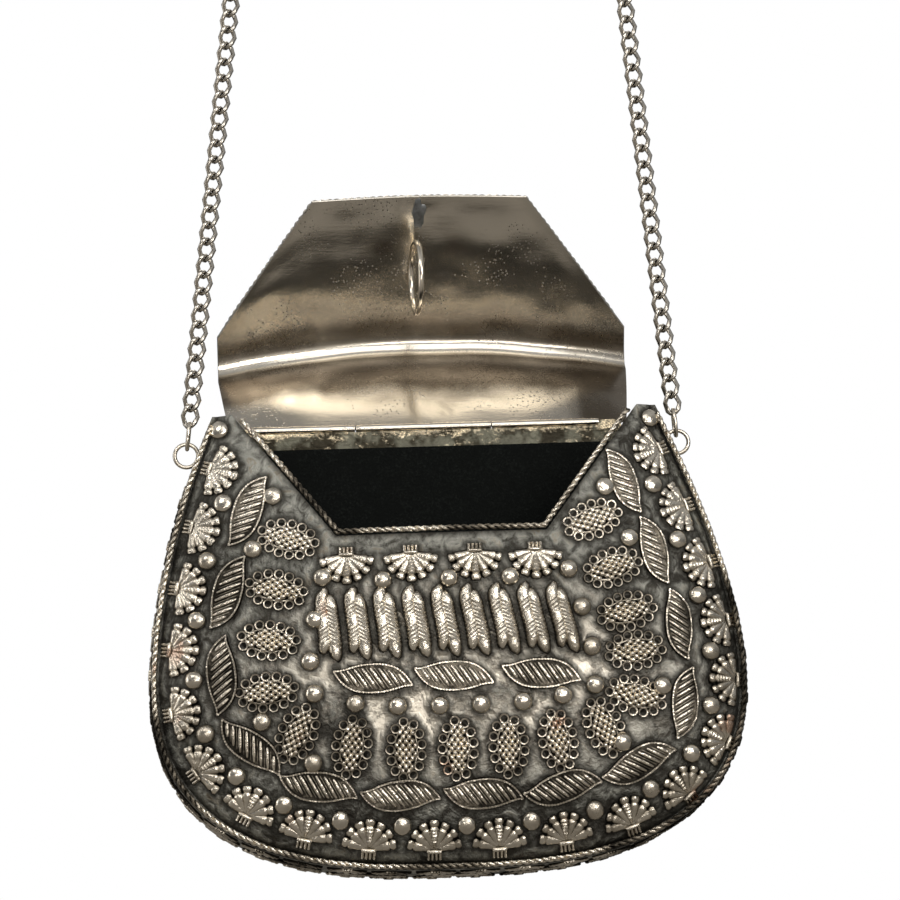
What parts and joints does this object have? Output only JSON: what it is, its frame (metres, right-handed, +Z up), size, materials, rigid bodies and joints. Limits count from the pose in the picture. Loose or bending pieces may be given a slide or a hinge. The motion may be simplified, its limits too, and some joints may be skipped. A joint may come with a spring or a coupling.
{
  "type": "box purse",
  "caption": "Domed metal box purse with a notched front, a hinged bent lid standing open, velvet lining and a long curb chain to hang it by.",
  "frame": {"origin": "under the middle of the chain's top arc, where the purse hangs", "axes": "+Z up, -Y the front of the case, +X to the right seen from the front"},
  "size_m": [0.1686, 0.0844, 0.5863],
  "materials": {
    "antique_silver": "silver-toned nickel alloy, darkened in the hollows and rubbed bright on what stands out",
    "inner_nickel": "plain warm-toned sheet, satin, with light tarnish and dents",
    "bright_wire": "polished wire",
    "chain_steel": "aged silver-toned chain",
    "black_velvet": "short-pile black velvet"
  },
  "bodies": {
    "case": {"front_plate": "antique_silver", "back_plate": "antique_silver", "side_band": "antique_silver", "front_edging": "antique_silver", "back_edging": "antique_silver", "notch_edging": "antique_silver", "hinge_knuckle_left": "inner_nickel", "hinge_knuckle_right": "inner_nickel", "hinge_pin": "bright_wire", "lining_back": "black_velvet", "lining_front": "black_velvet", "lining_band": "black_velvet", "lug_left": "bright_wire", "lug_right": "bright_wire", "jump_link_left": "bright_wire", "jump_link_right": "bright_wire", "chain_left": "chain_steel", "chain_right": "chain_steel", "chain_top": "chain_steel"},
    "lid": {"lid": "inner_nickel", "lid_edging": "antique_silver", "catch_ring": "bright_wire", "hinge_knuckle_middle": "inner_nickel"}
  },
  "joints": [
    {"name": "lid_hinge", "type": "hinge", "parent": "case", "child": "lid", "pos_m": [-0.012, 0.0165, -0.4485], "axis": [1, 0, 0], "range_deg": [0, 138]}
  ]
}
